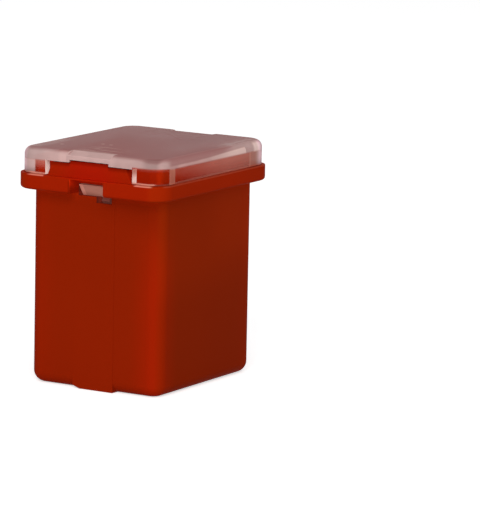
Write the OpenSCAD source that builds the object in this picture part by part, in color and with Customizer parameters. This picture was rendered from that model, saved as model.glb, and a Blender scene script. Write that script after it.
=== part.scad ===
// Low-profile automotive cartridge fuse with two female blade sockets.
// Millimetres, +Z up. The origin is the middle of the flat bottom face.
// The narrow sides face -X and +X. The two ends are the same, turned half round about Z.

/* [Body] */
// Length of the body between its narrow sides
body_x = 13.0; // [12.8:0.1:14]
// Depth of the body between its wide sides
body_y = 11.1; // [10.9:0.1:12]
// Height of the body below the flange
body_z = 14.25; // [14:0.05:18]
// Radius of the upright corners of the body
body_corner_r = 1.1; // [1:0.05:1.6]
// Radius round the bottom edge of the body
foot_r = 0.85; // [0.3:0.05:0.95]
// Wall of the rim and of the narrow sides
wall = 1.1; // [0.9:0.05:1.15]
// Thickness of the floor that the blade openings pass through
floor_t = 1.25; // [1:0.05:1.8]
// Width of the raised pad on each narrow side
pad_y = 3.4; // [2:0.1:5]
// How far the pad stands proud of the body
pad_t = 0.02; // [0.02:0.01:0.3]
// Width of the slanting cut at one lower corner of the pad
pad_cut_y = 0.55; // [0.1:0.05:0.8]
// Height of the slanting cut at one lower corner of the pad
pad_cut_z = 0.2; // [0.05:0.05:0.4]

/* [Flange] */
// How far the flange stands out beyond the narrow sides
flange_out_x = 1.2; // [0.8:0.05:1.6]
// How far the flange stands out beyond the wide sides
flange_out_y = 0.75; // [0.5:0.05:1.2]
// Thickness of the flange
flange_t = 1.15; // [1.05:0.05:1.4]
// Radius of the flange's corners
flange_corner_r = 1.55; // [1:0.05:2]
// Radius round the lower edge of the flange
flange_edge_r = 0.25; // [0.1:0.05:0.4]

/* [Cover] */
// How far the cover's skirt stands back from the flange's narrow edges
cover_in_x = 0.3; // [0.1:0.05:0.5]
// How far the cover's skirt stands back from the flange's wide edges
cover_in_y = 0.2; // [0.1:0.05:0.4]
// Height of the cover above the flange
cover_z = 1.85; // [1.6:0.05:2.6]
// Radius of the cover's corners
cover_corner_r = 1.4; // [1.1:0.05:1.8]
// Radius round the cover's top edge
cover_edge_r = 0.55; // [0.2:0.05:0.6]
// Wall of the cover's skirt
skirt_t = 0.6; // [0.55:0.05:0.8]
// Thickness of the cover's top
top_t = 0.6; // [0.5:0.05:0.8]
// Width of the finger relief on the cover's narrow top edges
relief_y = 3.6; // [2:0.1:5]
// How far the finger relief reaches in from the cover's side
relief_x = 0.95; // [0.7:0.05:1.3]
// How deep the finger relief is at the cover's side
relief_z = 0.3; // [0.1:0.05:0.4]

/* [Lug] */
// How far the lug's face stands back from the flange's narrow edge
lug_in = 0.35; // [0.1:0.05:0.6]
// Width of the lug in the skirt's notch, at its foot
lug_y = 7.05; // [5.5:0.05:7.5]
// How much narrower the lug is at its top than at its foot
lug_taper = 0.8; // [0:0.05:1]
// How far the lug's shoulders stay below its taller middle
lug_shoulder = 0.2; // [0.08:0.02:0.4]
// Width of the taller middle of the lug
lug_mid_y = 3.2; // [2:0.1:4.5]

/* [Latch] */
// Width of each latch arm on the cover
latch_y = 2.6; // [2:0.1:3]
// Thickness of each latch arm
arm_t = 0.6; // [0.4:0.05:0.7]
// Depth of the groove in the wall that the arm lies in
groove_t = 0.5; // [0.3:0.05:0.6]
// How far the hook stands out beyond the body's narrow side
hook_out = 0.16; // [0.05:0.01:0.4]
// Height of the hook's catch above the bottom face of the flange
hook_up = 0.62; // [0.45:0.01:0.75]
// Height of the hook from its tip to its catch
hook_z = 0.92; // [0.7:0.02:1.1]
// Height of the flange notch in front of the latch
notch_z = 1.05; // [0.85:0.05:1.05]
// How far the window reaches below the flange
window_down = 0.2; // [0.1:0.05:0.5]
// How far the deeper half of the window reaches below the flange
pocket_down = 0.62; // [0.5:0.01:1]

/* [Blade openings] */
// Distance between the two blades
blade_pitch = 5.63; // [5.5:0.01:6]
// Width of each blade opening
slot_x = 1.15; // [1:0.05:1.4]
// Length of each blade opening
slot_y = 7.15; // [6.8:0.05:7.4]
// Length of the opening's stem, towards the narrow side
stem_x = 2.1; // [1.5:0.05:2.15]
// Width of the opening's stem
stem_y = 3.4; // [2.5:0.1:4]

/* [Fuse element] */
// Thickness of the metal strip
sheet_t = 0.3; // [0.2:0.02:0.35]
// Depth of each socket across the blade
socket_x = 2.33; // [2.2:0.01:2.4]
// Width of each socket along the blade
socket_y = 7.5; // [7.1:0.05:7.7]
// Height of each socket above the floor
socket_z = 9.4; // [8:0.1:10]
// Thickness of the blade that the sockets take
blade_t = 0.8; // [0.6:0.05:0.9]
// Gap of the seam where the socket's edges meet
seam = 0.12; // [0.05:0.01:0.3]
// Width of each contact spring
spring_y = 1.1; // [0.8:0.05:1.15]
// How far a contact spring stands in the blade's way when no blade is in
spring_bite = 0.25; // [0.1:0.01:0.35]
// Width of the strip's arms up to the link
arm_y = 1.0; // [0.8:0.05:1.3]
// Width of the strip at its narrow necks
neck_x = 0.8; // [0.5:0.05:1.2]
// Depth of the link's underside below the underside of the cover's top
link_down = 3.1; // [2.2:0.1:3.6]
// Width of the pad under the tin pellet
pellet_pad = 1.9; // [1.75:0.05:2.2]

/* [Tin pellet] */
// Diameter of the tin pellet
pellet_d = 1.7; // [1.2:0.05:2]
// Height of the tin pellet
pellet_z = 0.5; // [0.3:0.05:0.7]

/* [Clearances] */
// Gap between the cover's skirt and the rim inside it
skirt_gap = 0.1; // [0.05:0.01:0.15]
// Gap on either side of the lug's foot in its notch
lug_gap = 0.12; // [0.05:0.01:0.2]
// Gap above the lug in its notch
lug_top_gap = 0.05; // [0.03:0.01:0.1]
// Gap between a latch arm and its groove, and round the hook
latch_gap = 0.05; // [0.03:0.01:0.1]
// Gap between a socket and the webs and ribs beside it
socket_gap = 0.1; // [0.05:0.01:0.15]

/* [Hidden] */

$fn = 64;
eps = 0.01;                                   // overshoot of a cut beyond a face

// Heights
flange_top = body_z + flange_t;
part_z = flange_top + cover_z;
cover_under = part_z - top_t;
rim_top = cover_under - skirt_gap;
lug_top = cover_under - lug_top_gap;
lug_shoulder_top = lug_top - lug_shoulder;
catch_z = body_z + hook_up;                   // flat top of the hook
tip_z = catch_z - hook_z;                     // lowest point of the latch arm

// Plan sizes
flange_x = body_x + 2 * flange_out_x;
flange_y = body_y + 2 * flange_out_y;
cover_x = flange_x - 2 * cover_in_x;
cover_y = flange_y - 2 * cover_in_y;
rim_x = cover_x - 2 * (skirt_t + skirt_gap);
rim_y = cover_y - 2 * (skirt_t + skirt_gap);
rim_corner_r = cover_corner_r - skirt_t;
cavity_x = rim_x - 2 * wall;
cavity_y = rim_y - 2 * wall;
cavity_corner_r = 0.5;
groove_x = cavity_x / 2 + groove_t;           // outer face of the latch groove
window_y = latch_y + 4 * latch_gap;           // width of the latch window

// Socket
slot_outer = (blade_pitch + slot_x) / 2;      // outer long edge of a blade opening
blade_back = (blade_pitch - blade_t) / 2;     // face of the blade nearest the middle
socket_back = blade_back - sheet_t;           // outside of the socket's back plate
socket_out = socket_back + socket_x;          // outside of the socket's open side
socket_top = floor_t + socket_z;
back_corner_r = 0.5;                          // outer radius where the back plate turns
side_corner_r = 1.05;                         // outer radius where the sides roll over
lead_z = 1.1;                                 // height of the flared lead-in at the foot
lead_x = 0.15;                                // how far the lead-in leans away
contact_z = 4.6;                              // height where the springs touch the blade
spring_t = 0.25;                              // the springs are coined thinner than the strip
fold_r = 0.3;                                 // radius of a spring's fold at the upper edge
bow_r = 0.8;                                  // radius of a spring's bow where it meets the blade

// Supports inside the housing
web_down = 2;                                 // the web behind the sockets stops this far below them
rib_x = 1.2;                                  // width of a rib beside a socket

// Link
link_z = cover_under - link_down;             // underside of the link
neck_y = 0.5;                                 // length of each neck beside the pad
arm_out = pellet_pad / 2 + neck_y;            // nearest edge of an arm to the middle plane
link_reach = arm_out + arm_y;                 // far edge of an arm from the middle plane
arm_bend = 0.5;                               // size of the slanting bend at the top of an arm

// Lance that locks each socket in its pocket
lance_y = 0.65;
lance_start = 0.5;                            // near edge of the lance from the middle plane
lance_show = 0.32;                            // height of the lance's tip above the pocket's floor
lance_in = 0.2;                               // how far the lance's tip stays inside the narrow side
lance_tip_z = body_z - pocket_down + lance_show;
lance_tip_x = body_x / 2 - lance_in;
pocket_wall = 0.25;                           // wall in front of the lance below the pocket
pocket_x = body_x / 2 - pocket_wall;
middle_gap = 0.12;                            // near edge of the window's deeper half

// ---------------------------------------------------------------- shapes

// Rectangle centred on the origin with round corners
module round_rect(x, y, r) {
    square([x - 2 * r, y], center = true);
    square([x, y - 2 * r], center = true);
    for (i = [-1, 1], j = [-1, 1])
        translate([i * (x / 2 - r), j * (y / 2 - r)])
            circle(r);
}

// Quarter of a disc in the corner where both coordinates are positive
module quarter_disc(r) {
    intersection() {
        circle(r);
        square(r);
    }
}

// One straight quarter-round edge, lying along X, round side to -Z and +Y
module edge_round(length, e) {
    rotate([90, 0, 90])
        translate([0, 0, -length / 2])
            linear_extrude(length)
                mirror([0, 1])
                    quarter_disc(e);
}

// Block standing on Z = 0 with round upright corners and a round bottom edge
module round_foot_block(x, y, z, r, e) {
    translate([0, 0, e])
        linear_extrude(z - e)
            round_rect(x, y, r);
    linear_extrude(e)
        round_rect(x - 2 * e, y - 2 * e, r - e);
    for (side = [-1, 1]) {
        rotate([0, 0, side == 1 ? 0 : 180])
            translate([0, y / 2 - e, e])
                edge_round(x - 2 * r, e);
        rotate([0, 0, side * 90])
            translate([0, x / 2 - e, e])
                edge_round(y - 2 * r, e);
    }
    for (turn = [0, 1, 2, 3])
        translate([(turn == 0 || turn == 3 ? 1 : -1) * (x / 2 - r), (turn < 2 ? 1 : -1) * (y / 2 - r), e])
            rotate([0, 0, turn * 90])
                rotate_extrude(angle = 90)
                    translate([r - e, 0])
                        mirror([0, 1])
                            quarter_disc(e);
}

// Direction of a path's stretch from point i, and its left-hand normal
function heading(path, i) = (path[i + 1] - path[i]) / norm(path[i + 1] - path[i]);
function leftward(v) = [-v[1], v[0]];

// Offset of the strip's left side at point i, mitred where two stretches meet
function mitre(path, i) =
    let (last = len(path) - 1,
         before = leftward(heading(path, max(i - 1, 0))),
         after = leftward(heading(path, min(i, last - 1))))
    (before + after) / (1 + before * after);

// Points of an arc about a centre, from one angle to another
function arc(centre, r, from, to, steps) =
    [for (i = [0 : steps])
        let (turn = from + (to - from) * i / steps)
        centre + r * [cos(turn), sin(turn)]];

// Outline of a strip of even thickness along a path of points
module strip_path(path, t) {
    last = len(path) - 1;
    polygon(concat([for (i = [0 : last]) path[i] + mitre(path, i) * t / 2],
                   [for (i = [last : -1 : 0]) path[i] - mitre(path, i) * t / 2]));
}

// Carries an outline drawn in X and Z through a range of Y
module along_y(y0, y1) {
    translate([0, y1, 0])
        rotate([90, 0, 0])
            linear_extrude(y1 - y0)
                children();
}

// Puts a copy at each narrow end, the second turned half round
module both_ends() {
    for (turn = [0, 180])
        rotate([0, 0, turn])
            children();
}

// Outline with a taller middle, in Y and Z, that stands on the flange: its half widths at the foot
// and at the shoulders, the half width of the middle, and both heights
module stepped_outline(foot, shoulder, mid, low, high) {
    polygon([[-foot, flange_top - eps], [foot, flange_top - eps], [shoulder, low], [mid, low],
             [mid, high], [-mid, high], [-mid, low], [-shoulder, low]]);
}

module lug_outline() {
    stepped_outline(lug_y / 2, (lug_y - lug_taper) / 2, lug_mid_y / 2, lug_shoulder_top, lug_top);
}

// Outline of the skirt's notch, with upright sides
module notch_outline() {
    half = lug_y / 2 + lug_gap;
    stepped_outline(half, half, lug_mid_y / 2 + lug_top_gap, lug_shoulder_top + lug_top_gap, cover_under);
}

// Outline of a narrow side's pad, in Y and Z, with one lower corner cut
module pad_outline() {
    half = pad_y / 2;
    polygon([[-half, pad_cut_z], [-half + pad_cut_y, 0], [half, 0], [half, body_z], [-half, body_z]]);
}

// ---------------------------------------------------------------- housing

// Outside of the body, flange, rim, pads and lugs
module housing_outside() {
    round_foot_block(body_x, body_y, body_z, body_corner_r, foot_r);
    translate([0, 0, body_z])
        round_foot_block(flange_x, flange_y, flange_t, flange_corner_r, flange_edge_r);
    translate([0, 0, flange_top])
        linear_extrude(rim_top - flange_top)
            round_rect(rim_x, rim_y, rim_corner_r);
    both_ends()
        translate([cavity_x / 2, 0, 0])
            rotate([90, 0, 90]) {
                linear_extrude(body_x / 2 + pad_t - cavity_x / 2)
                    pad_outline();
                linear_extrude(flange_x / 2 - lug_in - cavity_x / 2)
                    lug_outline();
            }
}

// Blade opening through the floor: a long slot with a stem towards the narrow side
module blade_opening() {
    translate([blade_pitch / 2, 0, floor_t / 2]) {
        cube([slot_x, slot_y, floor_t + 2 * eps], center = true);
        translate([slot_x / 2 - eps, -stem_y / 2, -floor_t / 2 - eps])
            cube([stem_x + eps, stem_y, floor_t + 2 * eps]);
    }
}

// Groove for the latch arm, window for the hook and pocket for the socket's lance
module latch_cuts() {
    half = window_y / 2;
    low = tip_z - latch_gap;
    translate([cavity_x / 2 - eps, -half, low])
        cube([groove_t + eps, window_y, part_z - low]);
    translate([body_x / 2, -half, body_z - eps])
        cube([flange_out_x + eps, window_y, notch_z + eps]);
    translate([cavity_x / 2, -half, body_z - window_down])
        cube([body_x / 2 - cavity_x / 2 + 2 * pad_t, window_y, window_down + hook_up + latch_gap]);
    translate([pocket_x - eps, middle_gap, body_z - pocket_down])
        cube([body_x / 2 - pocket_x + 2 * pad_t, half - middle_gap, pocket_down]);
    translate([cavity_x / 2 - eps, lance_start - socket_gap, lance_tip_z - 1])
        cube([pocket_x - cavity_x / 2 + eps, lance_y + 2 * socket_gap, body_z - lance_tip_z + 1]);
}

// Web behind the back plate and ribs beside one socket
module socket_supports() {
    web_out = socket_back - lead_x - socket_gap / 2;
    translate([web_out - wall, -cavity_y / 2 - eps, floor_t - eps])
        cube([wall, cavity_y + 2 * eps, socket_z - web_down]);
    for (side = [0, 1])
        mirror([0, side, 0])
            translate([(blade_pitch - rib_x) / 2, socket_y / 2 + socket_gap, floor_t - eps])
                cube([rib_x, (cavity_y - socket_y) / 2 - socket_gap + eps, socket_z]);
}

module housing() {
    color([0.50, 0.10, 0.02]) {
        difference() {
            housing_outside();
            translate([0, 0, floor_t])
                linear_extrude(part_z)
                    round_rect(cavity_x, cavity_y, cavity_corner_r);
            both_ends() {
                blade_opening();
                latch_cuts();
            }
        }
        both_ends()
            socket_supports();
    }
}

// ---------------------------------------------------------------- cover

// Cap with a round top edge, open below, with notches for the lugs
module cap() {
    hollow_z = cover_z - top_t;
    difference() {
        translate([0, 0, part_z])
            mirror([0, 0, 1])
                round_foot_block(cover_x, cover_y, cover_z, cover_corner_r, cover_edge_r);
        translate([0, 0, flange_top - eps])
            linear_extrude(hollow_z + eps)
                round_rect(cover_x - 2 * skirt_t, cover_y - 2 * skirt_t, cover_corner_r - skirt_t);
        both_ends() {
            translate([cover_x / 2 - skirt_t - eps, 0, 0])
                rotate([90, 0, 90])
                    linear_extrude(skirt_t + 2 * eps)
                        notch_outline();
            along_y(-relief_y / 2, relief_y / 2)
                polygon([[cover_x / 2 - relief_x, part_z], [cover_x / 2 + eps, part_z - relief_z],
                         [cover_x / 2 + eps, part_z + eps], [cover_x / 2 - relief_x, part_z + eps]]);
        }
    }
}

// Latch arm with its hook, hanging from the underside of the cap
module latch_arm() {
    out = groove_x - latch_gap;
    hook = body_x / 2 + hook_out;
    along_y(-latch_y / 2, latch_y / 2)
        polygon([[out - arm_t, cover_under + eps], [out, cover_under + eps], [out, catch_z], [hook, catch_z],
                 [out - latch_gap, tip_z], [out - arm_t / 2, tip_z], [out - arm_t, tip_z + arm_t / 2]]);
}

module cover() {
    color([0.80, 0.66, 0.64, 0.45]) {
        cap();
        both_ends()
            latch_arm();
    }
}

// ---------------------------------------------------------------- fuse element

// Plan of the box-shaped socket's outside, shrunk all round by an inset
module socket_plan(inset) {
    x0 = socket_back + inset;
    x1 = socket_out - inset;
    half = socket_y / 2 - inset;
    rb = back_corner_r - inset;
    rs = side_corner_r - inset;
    translate([x0, -half + rb])
        square([rb, 2 * (half - rb)]);
    translate([x0 + rb, -half])
        square([x1 - x0 - rb - rs, 2 * half]);
    translate([x1 - rs, -half + rs])
        square([rs, 2 * (half - rs)]);
    for (side = [-1, 1]) {
        translate([x0 + rb, side * (half - rb)])
            circle(rb, $fn = 32);
        translate([x1 - rs, side * (half - rs)])
            circle(rs, $fn = 32);
    }
}

// Folded box with a seam on its outer side, and its back plate cut away at the foot
module socket_box() {
    translate([0, 0, floor_t])
        difference() {
            linear_extrude(socket_z)
                difference() {
                    socket_plan(0);
                    socket_plan(sheet_t);
                    translate([socket_out - sheet_t / 2, 0])
                        square([2 * sheet_t, seam], center = true);
                }
            translate([socket_back - eps, -socket_y / 2 + back_corner_r, -eps])
                cube([sheet_t + 2 * eps, socket_y - 2 * back_corner_r, lead_z + eps]);
        }
}

// Foot of the back plate, leaning away to lead the blade in
module lead_in() {
    mid = socket_back + sheet_t / 2;
    half = socket_y / 2 - back_corner_r - socket_gap;
    top = floor_t + lead_z;
    along_y(-half, half)
        strip_path([[mid, top], [mid, top - sheet_t / 2], [mid - lead_x, floor_t + socket_gap / 2]], sheet_t);
}

// Two springs folded over from the socket's upper edge and down inside
module contact_springs() {
    fold = socket_out - sheet_t / 2;
    inner = fold - 2 * fold_r;
    touch = blade_back + blade_t - spring_bite + spring_t / 2;
    start = lance_start + lance_y + socket_gap;
    tail_top = [touch + 0.9 * bow_r, contact_z - 2 * bow_r];
    for (side = [0, 1])
        mirror([0, side, 0])
            along_y(start, start + spring_y)
                strip_path(concat(arc([fold - fold_r, socket_top], fold_r, 0, 180, 8),
                                  [[inner, socket_top - 2 * fold_r]],
                                  arc([touch + bow_r, contact_z], bow_r, 150, 210, 4),
                                  [tail_top, tail_top - [0, bow_r]]), spring_t);
}

// Lance leaning out from the socket's upper edge into the housing's pocket
module lance() {
    fold = socket_out - sheet_t / 2;
    along_y(lance_start, lance_start + lance_y)
        strip_path([[fold, socket_top], [fold, lance_tip_z - (lance_tip_x - fold)],
                    [lance_tip_x, lance_tip_z]], sheet_t);
}

// Arm that rises from the back plate's upper edge and turns in over the top
module link_arm() {
    mid = socket_back + sheet_t / 2;
    level = link_z + sheet_t / 2;
    along_y(-link_reach, -arm_out)
        strip_path([[mid, socket_top], [mid, level - arm_bend],
                    [mid - arm_bend, level], [mid - 2 * arm_bend, level]], sheet_t);
}

// S-shaped fusible link with two necks and a wider pad for the tin pellet
module link() {
    start = socket_back + sheet_t / 2 - 2 * arm_bend;
    translate([0, 0, link_z])
        linear_extrude(sheet_t) {
            for (turn = [0, 180])
                rotate(turn)
                    translate([-neck_x / 2, -link_reach])
                        square([start + neck_x / 2, arm_y]);
            square([neck_x, 2 * arm_out], center = true);
            circle(d = pellet_pad);
        }
}

module fuse_element() {
    color([0.48, 0.47, 0.44]) {
        both_ends() {
            socket_box();
            lead_in();
            contact_springs();
            lance();
            link_arm();
        }
        link();
    }
}

// ---------------------------------------------------------------- tin pellet

module tin_pellet() {
    round_r = pellet_z / 2;
    color([0.62, 0.62, 0.60])
        translate([0, 0, link_z + sheet_t])
            rotate_extrude() {
                square([pellet_d / 2, pellet_z - round_r]);
                square([pellet_d / 2 - round_r, pellet_z]);
                translate([pellet_d / 2 - round_r, pellet_z - round_r])
                    circle(round_r, $fn = 32);
            }
}

housing();
cover();
fuse_element();
tin_pellet();
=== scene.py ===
"""Automotive cartridge fuse with a clear cover, dressed over its CAD frame.

The housing, the cover and the fuse element are finished copies of the CAD solids with rounded
edges, and the tin pellet is a new surface. Everything is in metres: origin in the middle of the
flat bottom face, +Z up towards the cover, X between the narrow sides, Y between the wide sides.
Only the masks over the pieces are worked out in millimetres.
"""

import math

import bmesh
import bpy
import numpy as np
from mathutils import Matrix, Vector


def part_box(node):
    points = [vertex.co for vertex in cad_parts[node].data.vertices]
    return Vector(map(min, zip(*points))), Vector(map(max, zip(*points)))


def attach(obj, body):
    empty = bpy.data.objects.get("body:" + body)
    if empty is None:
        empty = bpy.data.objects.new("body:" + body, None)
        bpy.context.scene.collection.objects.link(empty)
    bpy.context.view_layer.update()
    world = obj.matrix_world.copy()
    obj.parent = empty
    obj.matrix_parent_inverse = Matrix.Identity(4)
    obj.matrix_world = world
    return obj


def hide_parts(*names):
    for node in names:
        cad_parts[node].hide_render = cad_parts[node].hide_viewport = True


bl_info = {
    "name": "Cartridge Fuse",
    "version": (1, 0, 0),
    "blender": (4, 5, 0),
    "location": "View3D > Sidebar > Fuse",
    "description": "Dresses a cartridge fuse: moulded housing, clear cover, tinned element and tin pellet",
    "category": "Object",
}

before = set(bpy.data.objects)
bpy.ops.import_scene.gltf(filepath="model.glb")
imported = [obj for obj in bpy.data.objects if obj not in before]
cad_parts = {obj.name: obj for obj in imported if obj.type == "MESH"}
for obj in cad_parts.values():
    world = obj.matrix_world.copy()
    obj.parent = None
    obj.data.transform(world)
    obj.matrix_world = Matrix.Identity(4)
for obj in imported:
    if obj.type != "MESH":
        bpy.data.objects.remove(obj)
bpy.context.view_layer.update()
HOUSING_HIGH, COVER_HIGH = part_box("housing")[1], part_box("cover")[1]
PELLET_LOW, PELLET_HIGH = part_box("tin_pellet")
MM = 0.001
# Heights of the cover over the flange and of the flange itself, in millimetres
COVER_RISE, FLANGE_HEIGHT = 1.85, 1.15
BLACK, WHITE = (0, 0, 0), (1, 1, 1)
# Painted light: gain of red, green and blue on the housing's wide sides, a warmer tint for how they are lit
SIDE_LIGHT_TINT = (1.0, 1.28, 1.1)
# Colour of the painted glow that stands for the light that the red lets into the latch window
WINDOW_LIGHT = (1.0, 0.15, 0.1)
# Painted light: gain of red, green and blue at the outermost stretch of the cover's hazier corners, which it
# makes brighter and bluer
CORNER_LIGHT_GAIN = (1.55, 1.52, 1.75)
# Flecks on the cover's top, as X and Y in millimetres
FLECKS = ((-2.74, 1.8), (-2.8, 1.08), (-4.59, 4.11))


# ------------------------------------------------------------------ settings

COLOUR = {"subtype": "COLOR", "size": 3, "min": 0, "max": 1}
FACTOR = {"subtype": "FACTOR", "min": 0, "max": 1}


class FUSE_PG_housing(bpy.types.PropertyGroup):
    """Finish of the red moulding."""

    red: bpy.props.FloatVectorProperty(
        name="Red", description="Colour of the moulding's broad faces",
        default=(0.285, 0.0146, 0.001), **COLOUR)
    # Painted light: the clearer, brighter red that the flange, the rim, the recess and the upright corners
    # take on where the light falls
    painted_glow: bpy.props.FloatVectorProperty(
        name="Edge red", description="Clearer red that light gives the flange and the upright corners",
        default=(0.37, 0.0138, 0.001), **COLOUR)
    lug: bpy.props.FloatVectorProperty(
        name="Lug red", description="Purer red of the lug's middle",
        default=(0.424, 0.0097, 0.0016), **COLOUR)
    lip: bpy.props.FloatVectorProperty(
        name="Lit lip", description="Pale line along the flange's upper edge, lit through the clear skirt",
        default=(0.75, 0.22, 0.15), **COLOUR)
    # Painted shade: the dull dark red inside the latch window
    window_shade: bpy.props.FloatVectorProperty(
        name="Hollow", description="Dull dark red inside the latch window",
        default=(0.12, 0.016, 0.009), **COLOUR)
    # Strength of the painted glow in the latch window, which stands for the light the red lets through
    through: bpy.props.FloatProperty(
        name="Light let through", description="Strength of the light let into the latch window",
        min=0, max=1, default=0.04)
    roughness: bpy.props.FloatProperty(
        name="Roughness", description="Roughness of the satin moulded surface", default=0.46, **FACTOR)
    edge: bpy.props.FloatProperty(
        name="Edge round", description="Radius of the moulding's edges",
        unit="LENGTH", min=0.00001, max=0.0002, default=0.000045)


class FUSE_PG_cover(bpy.types.PropertyGroup):
    """Finish of the clear cover."""

    # Partly haze, partly painted reflection: the paler colour that the top takes on at a glancing angle
    clear: bpy.props.FloatVectorProperty(
        name="Top haze", description="Colour that the top takes on at a glancing angle",
        default=(0.405, 0.18, 0.17), **COLOUR)
    # Partly haze, partly painted light: the red of the rim behind, scattered in the skirt's haze
    warm: bpy.props.FloatVectorProperty(
        name="Wall haze", description="Colour of the haze in the skirt, warmed by the red rim behind it",
        default=(0.68, 0.28, 0.22), **COLOUR)
    # Painted light over the haze: the paler colour of the skirt at the wide sides' unlike ends, high up and
    # near the foot
    far: bpy.props.FloatVectorProperty(
        name="Hazier end", description="Colour of the haze at the wide sides' hazier end, high on the skirt",
        default=(0.46, 0.185, 0.145), **COLOUR)
    far_low: bpy.props.FloatVectorProperty(
        name="Hazier end, low", description="Colour of that haze near the skirt's foot",
        default=(0.42, 0.145, 0.105), **COLOUR)
    # Painted light: the paler colour that the cover's round edges and corners take on, laid on as a haze
    band: bpy.props.FloatVectorProperty(
        name="Round edge", description="Colour of the paler haze in the cover's round edges and corners",
        default=(0.62, 0.4, 0.375), **COLOUR)
    streak: bpy.props.FloatVectorProperty(
        name="Streak", description="Colour of the upright streak beside the clearer corners",
        default=(0.56, 0.21, 0.145), **COLOUR)
    # Painted light: the red of the moulding seen through the clear arm; it also colours the painted glow of
    # the skirt's narrow foot and the hook's edges
    latch: bpy.props.FloatVectorProperty(
        name="Latch", description="Colour of the latch arm's foot in front of the red moulding",
        default=(0.53, 0.22, 0.165), **COLOUR)
    # Painted highlight: the lit lowest line of the skirt on the wide sides
    foot: bpy.props.FloatVectorProperty(
        name="Foot line", description="Colour of the skirt's lowest line on the wide sides",
        default=(0.62, 0.1, 0.05), **COLOUR)
    # Painted light: the bright end faces of the skirt and the hook, lit by the light that the clear moulding
    # pipes to them
    rim: bpy.props.FloatVectorProperty(
        name="End faces", description="Colour of the bright end faces of the skirt and the hook",
        default=(1.0, 0.72, 0.65), **COLOUR)
    # Painted shade: the darker upper stretch of the end faces at the clearer corners
    end_top_shade: bpy.props.FloatVectorProperty(
        name="End faces, top", description="Colour of the end faces' upper stretch at the clearer corners",
        default=(0.72, 0.33, 0.26), **COLOUR)
    haze: bpy.props.FloatProperty(
        name="Haze", description="Share of the light that the broad walls hold back", default=0.01, **FACTOR)
    # The walls hold back more at a glancing angle, where their colour stands for a painted reflection
    gloss: bpy.props.FloatProperty(
        name="Glancing gloss", description="How much more the walls hold back when seen at a glancing angle",
        min=0, max=1, default=1.0)
    # Strength of the painted glow that stands for the light piped to the end faces
    piped: bpy.props.FloatProperty(
        name="Piped light", description="Light that the clear moulding pipes to its end faces",
        min=0, max=1, default=0.1)
    roughness: bpy.props.FloatProperty(
        name="Roughness", description="Roughness of the cover's moulded surface", default=0.2, **FACTOR)
    edge: bpy.props.FloatProperty(
        name="Edge round", description="Radius of the cover's small edges",
        unit="LENGTH", min=0.00001, max=0.0002, default=0.000045)


class FUSE_PG_element(bpy.types.PropertyGroup):
    """Finish of the metal strip and the tin pellet."""

    tin: bpy.props.FloatVectorProperty(
        name="Tin", description="Colour of the tin plating", default=(0.52, 0.51, 0.47), **COLOUR)
    bare: bpy.props.FloatVectorProperty(
        name="Bare metal", description="Colour of the copper alloy at the cut edges",
        default=(0.62, 0.42, 0.25), **COLOUR)
    # Painted shade and glow: the dark red that the lances take on in the red moulding, used for their colour
    # and their glow
    lance_shade_and_glow: bpy.props.FloatVectorProperty(
        name="Reddened metal", description="Colour of the lances, which stand in the red moulding",
        default=(0.16, 0.045, 0.035), **COLOUR)
    roughness: bpy.props.FloatProperty(
        name="Roughness", description="Roughness of the plated strip", default=0.3, **FACTOR)
    edge: bpy.props.FloatProperty(
        name="Edge round", description="Radius of the strip's edges",
        unit="LENGTH", min=0.000005, max=0.0001, default=0.00002)


class FUSE_PG_stage(bpy.types.PropertyGroup):
    """Floor, light and camera."""

    floor: bpy.props.FloatVectorProperty(
        name="Floor", description="Colour of the pale floor", default=(0.9, 0.9, 0.9), **COLOUR)
    lift: bpy.props.FloatProperty(
        name="Floor white", description="How much whiter the floor shows than it is lit",
        min=0, max=1, default=0.6)
    soft: bpy.props.FloatProperty(
        name="Soft light", description="Strength of the even light from all round",
        min=0, max=2, default=0.26)
    key: bpy.props.FloatProperty(
        name="Key light", description="Power of the large soft lamp at the front left, in watts",
        min=0, max=50, default=2.9)
    top: bpy.props.FloatProperty(
        name="Top light", description="Power of the large soft lamp overhead, in watts",
        min=0, max=50, default=0.3)
    lens: bpy.props.FloatProperty(
        name="Lens", description="Focal length of the camera, in millimetres",
        min=50, max=600, default=282.34)


# ------------------------------------------------------------------ meshes


def put_in_scene(name, data):
    """An object at the origin, unturned and unscaled, that carries the mesh, lamp or camera."""
    piece = bpy.data.objects.new(name, data)
    bpy.context.scene.collection.objects.link(piece)
    return piece


def read(items, key, width=1, kind=np.float32):
    """One attribute of a mesh's points, edges, corners or faces, as an array with a row for each."""
    values = np.empty(len(items) * width, kind)
    items.foreach_get(key, values)
    return values.reshape(-1, width) if width > 1 else values


def store(mesh, name, domain, values):
    """Stores the values on the mesh's edges or faces, as a named attribute."""
    attribute = mesh.attributes.new(name, "FLOAT", domain)
    attribute.data.foreach_set("value", values.astype(np.float32))


def finished_copy(node, name, edge, segments=2, angle=32):
    """A CAD node's triangles as a new piece: doubles merged, flat faces joined, edges rounded."""
    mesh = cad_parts[node].data.copy()
    mesh.name = name
    mesh.materials.clear()
    shape = bmesh.new()
    shape.from_mesh(mesh)
    bmesh.ops.remove_doubles(shape, verts=shape.verts, dist=0.002 * MM)
    bmesh.ops.dissolve_limit(shape, angle_limit=math.radians(0.5), verts=shape.verts, edges=shape.edges)
    shape.to_mesh(mesh)
    shape.free()
    if "custom_normal" in mesh.attributes:
        mesh.attributes.remove(mesh.attributes["custom_normal"])
    mesh.shade_smooth()
    mesh.set_sharp_from_angle(angle=math.radians(angle))
    weigh_edges(mesh, edge, angle)
    piece = put_in_scene(name, mesh)
    bevel = piece.modifiers.new("Rounded edges", "BEVEL")
    bevel.width = edge
    bevel.segments = segments
    bevel.limit_method = "WEIGHT"
    bevel.use_clamp_overlap = False
    bevel.miter_outer = "MITER_ARC"
    bevel.harden_normals = True
    return piece


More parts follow.
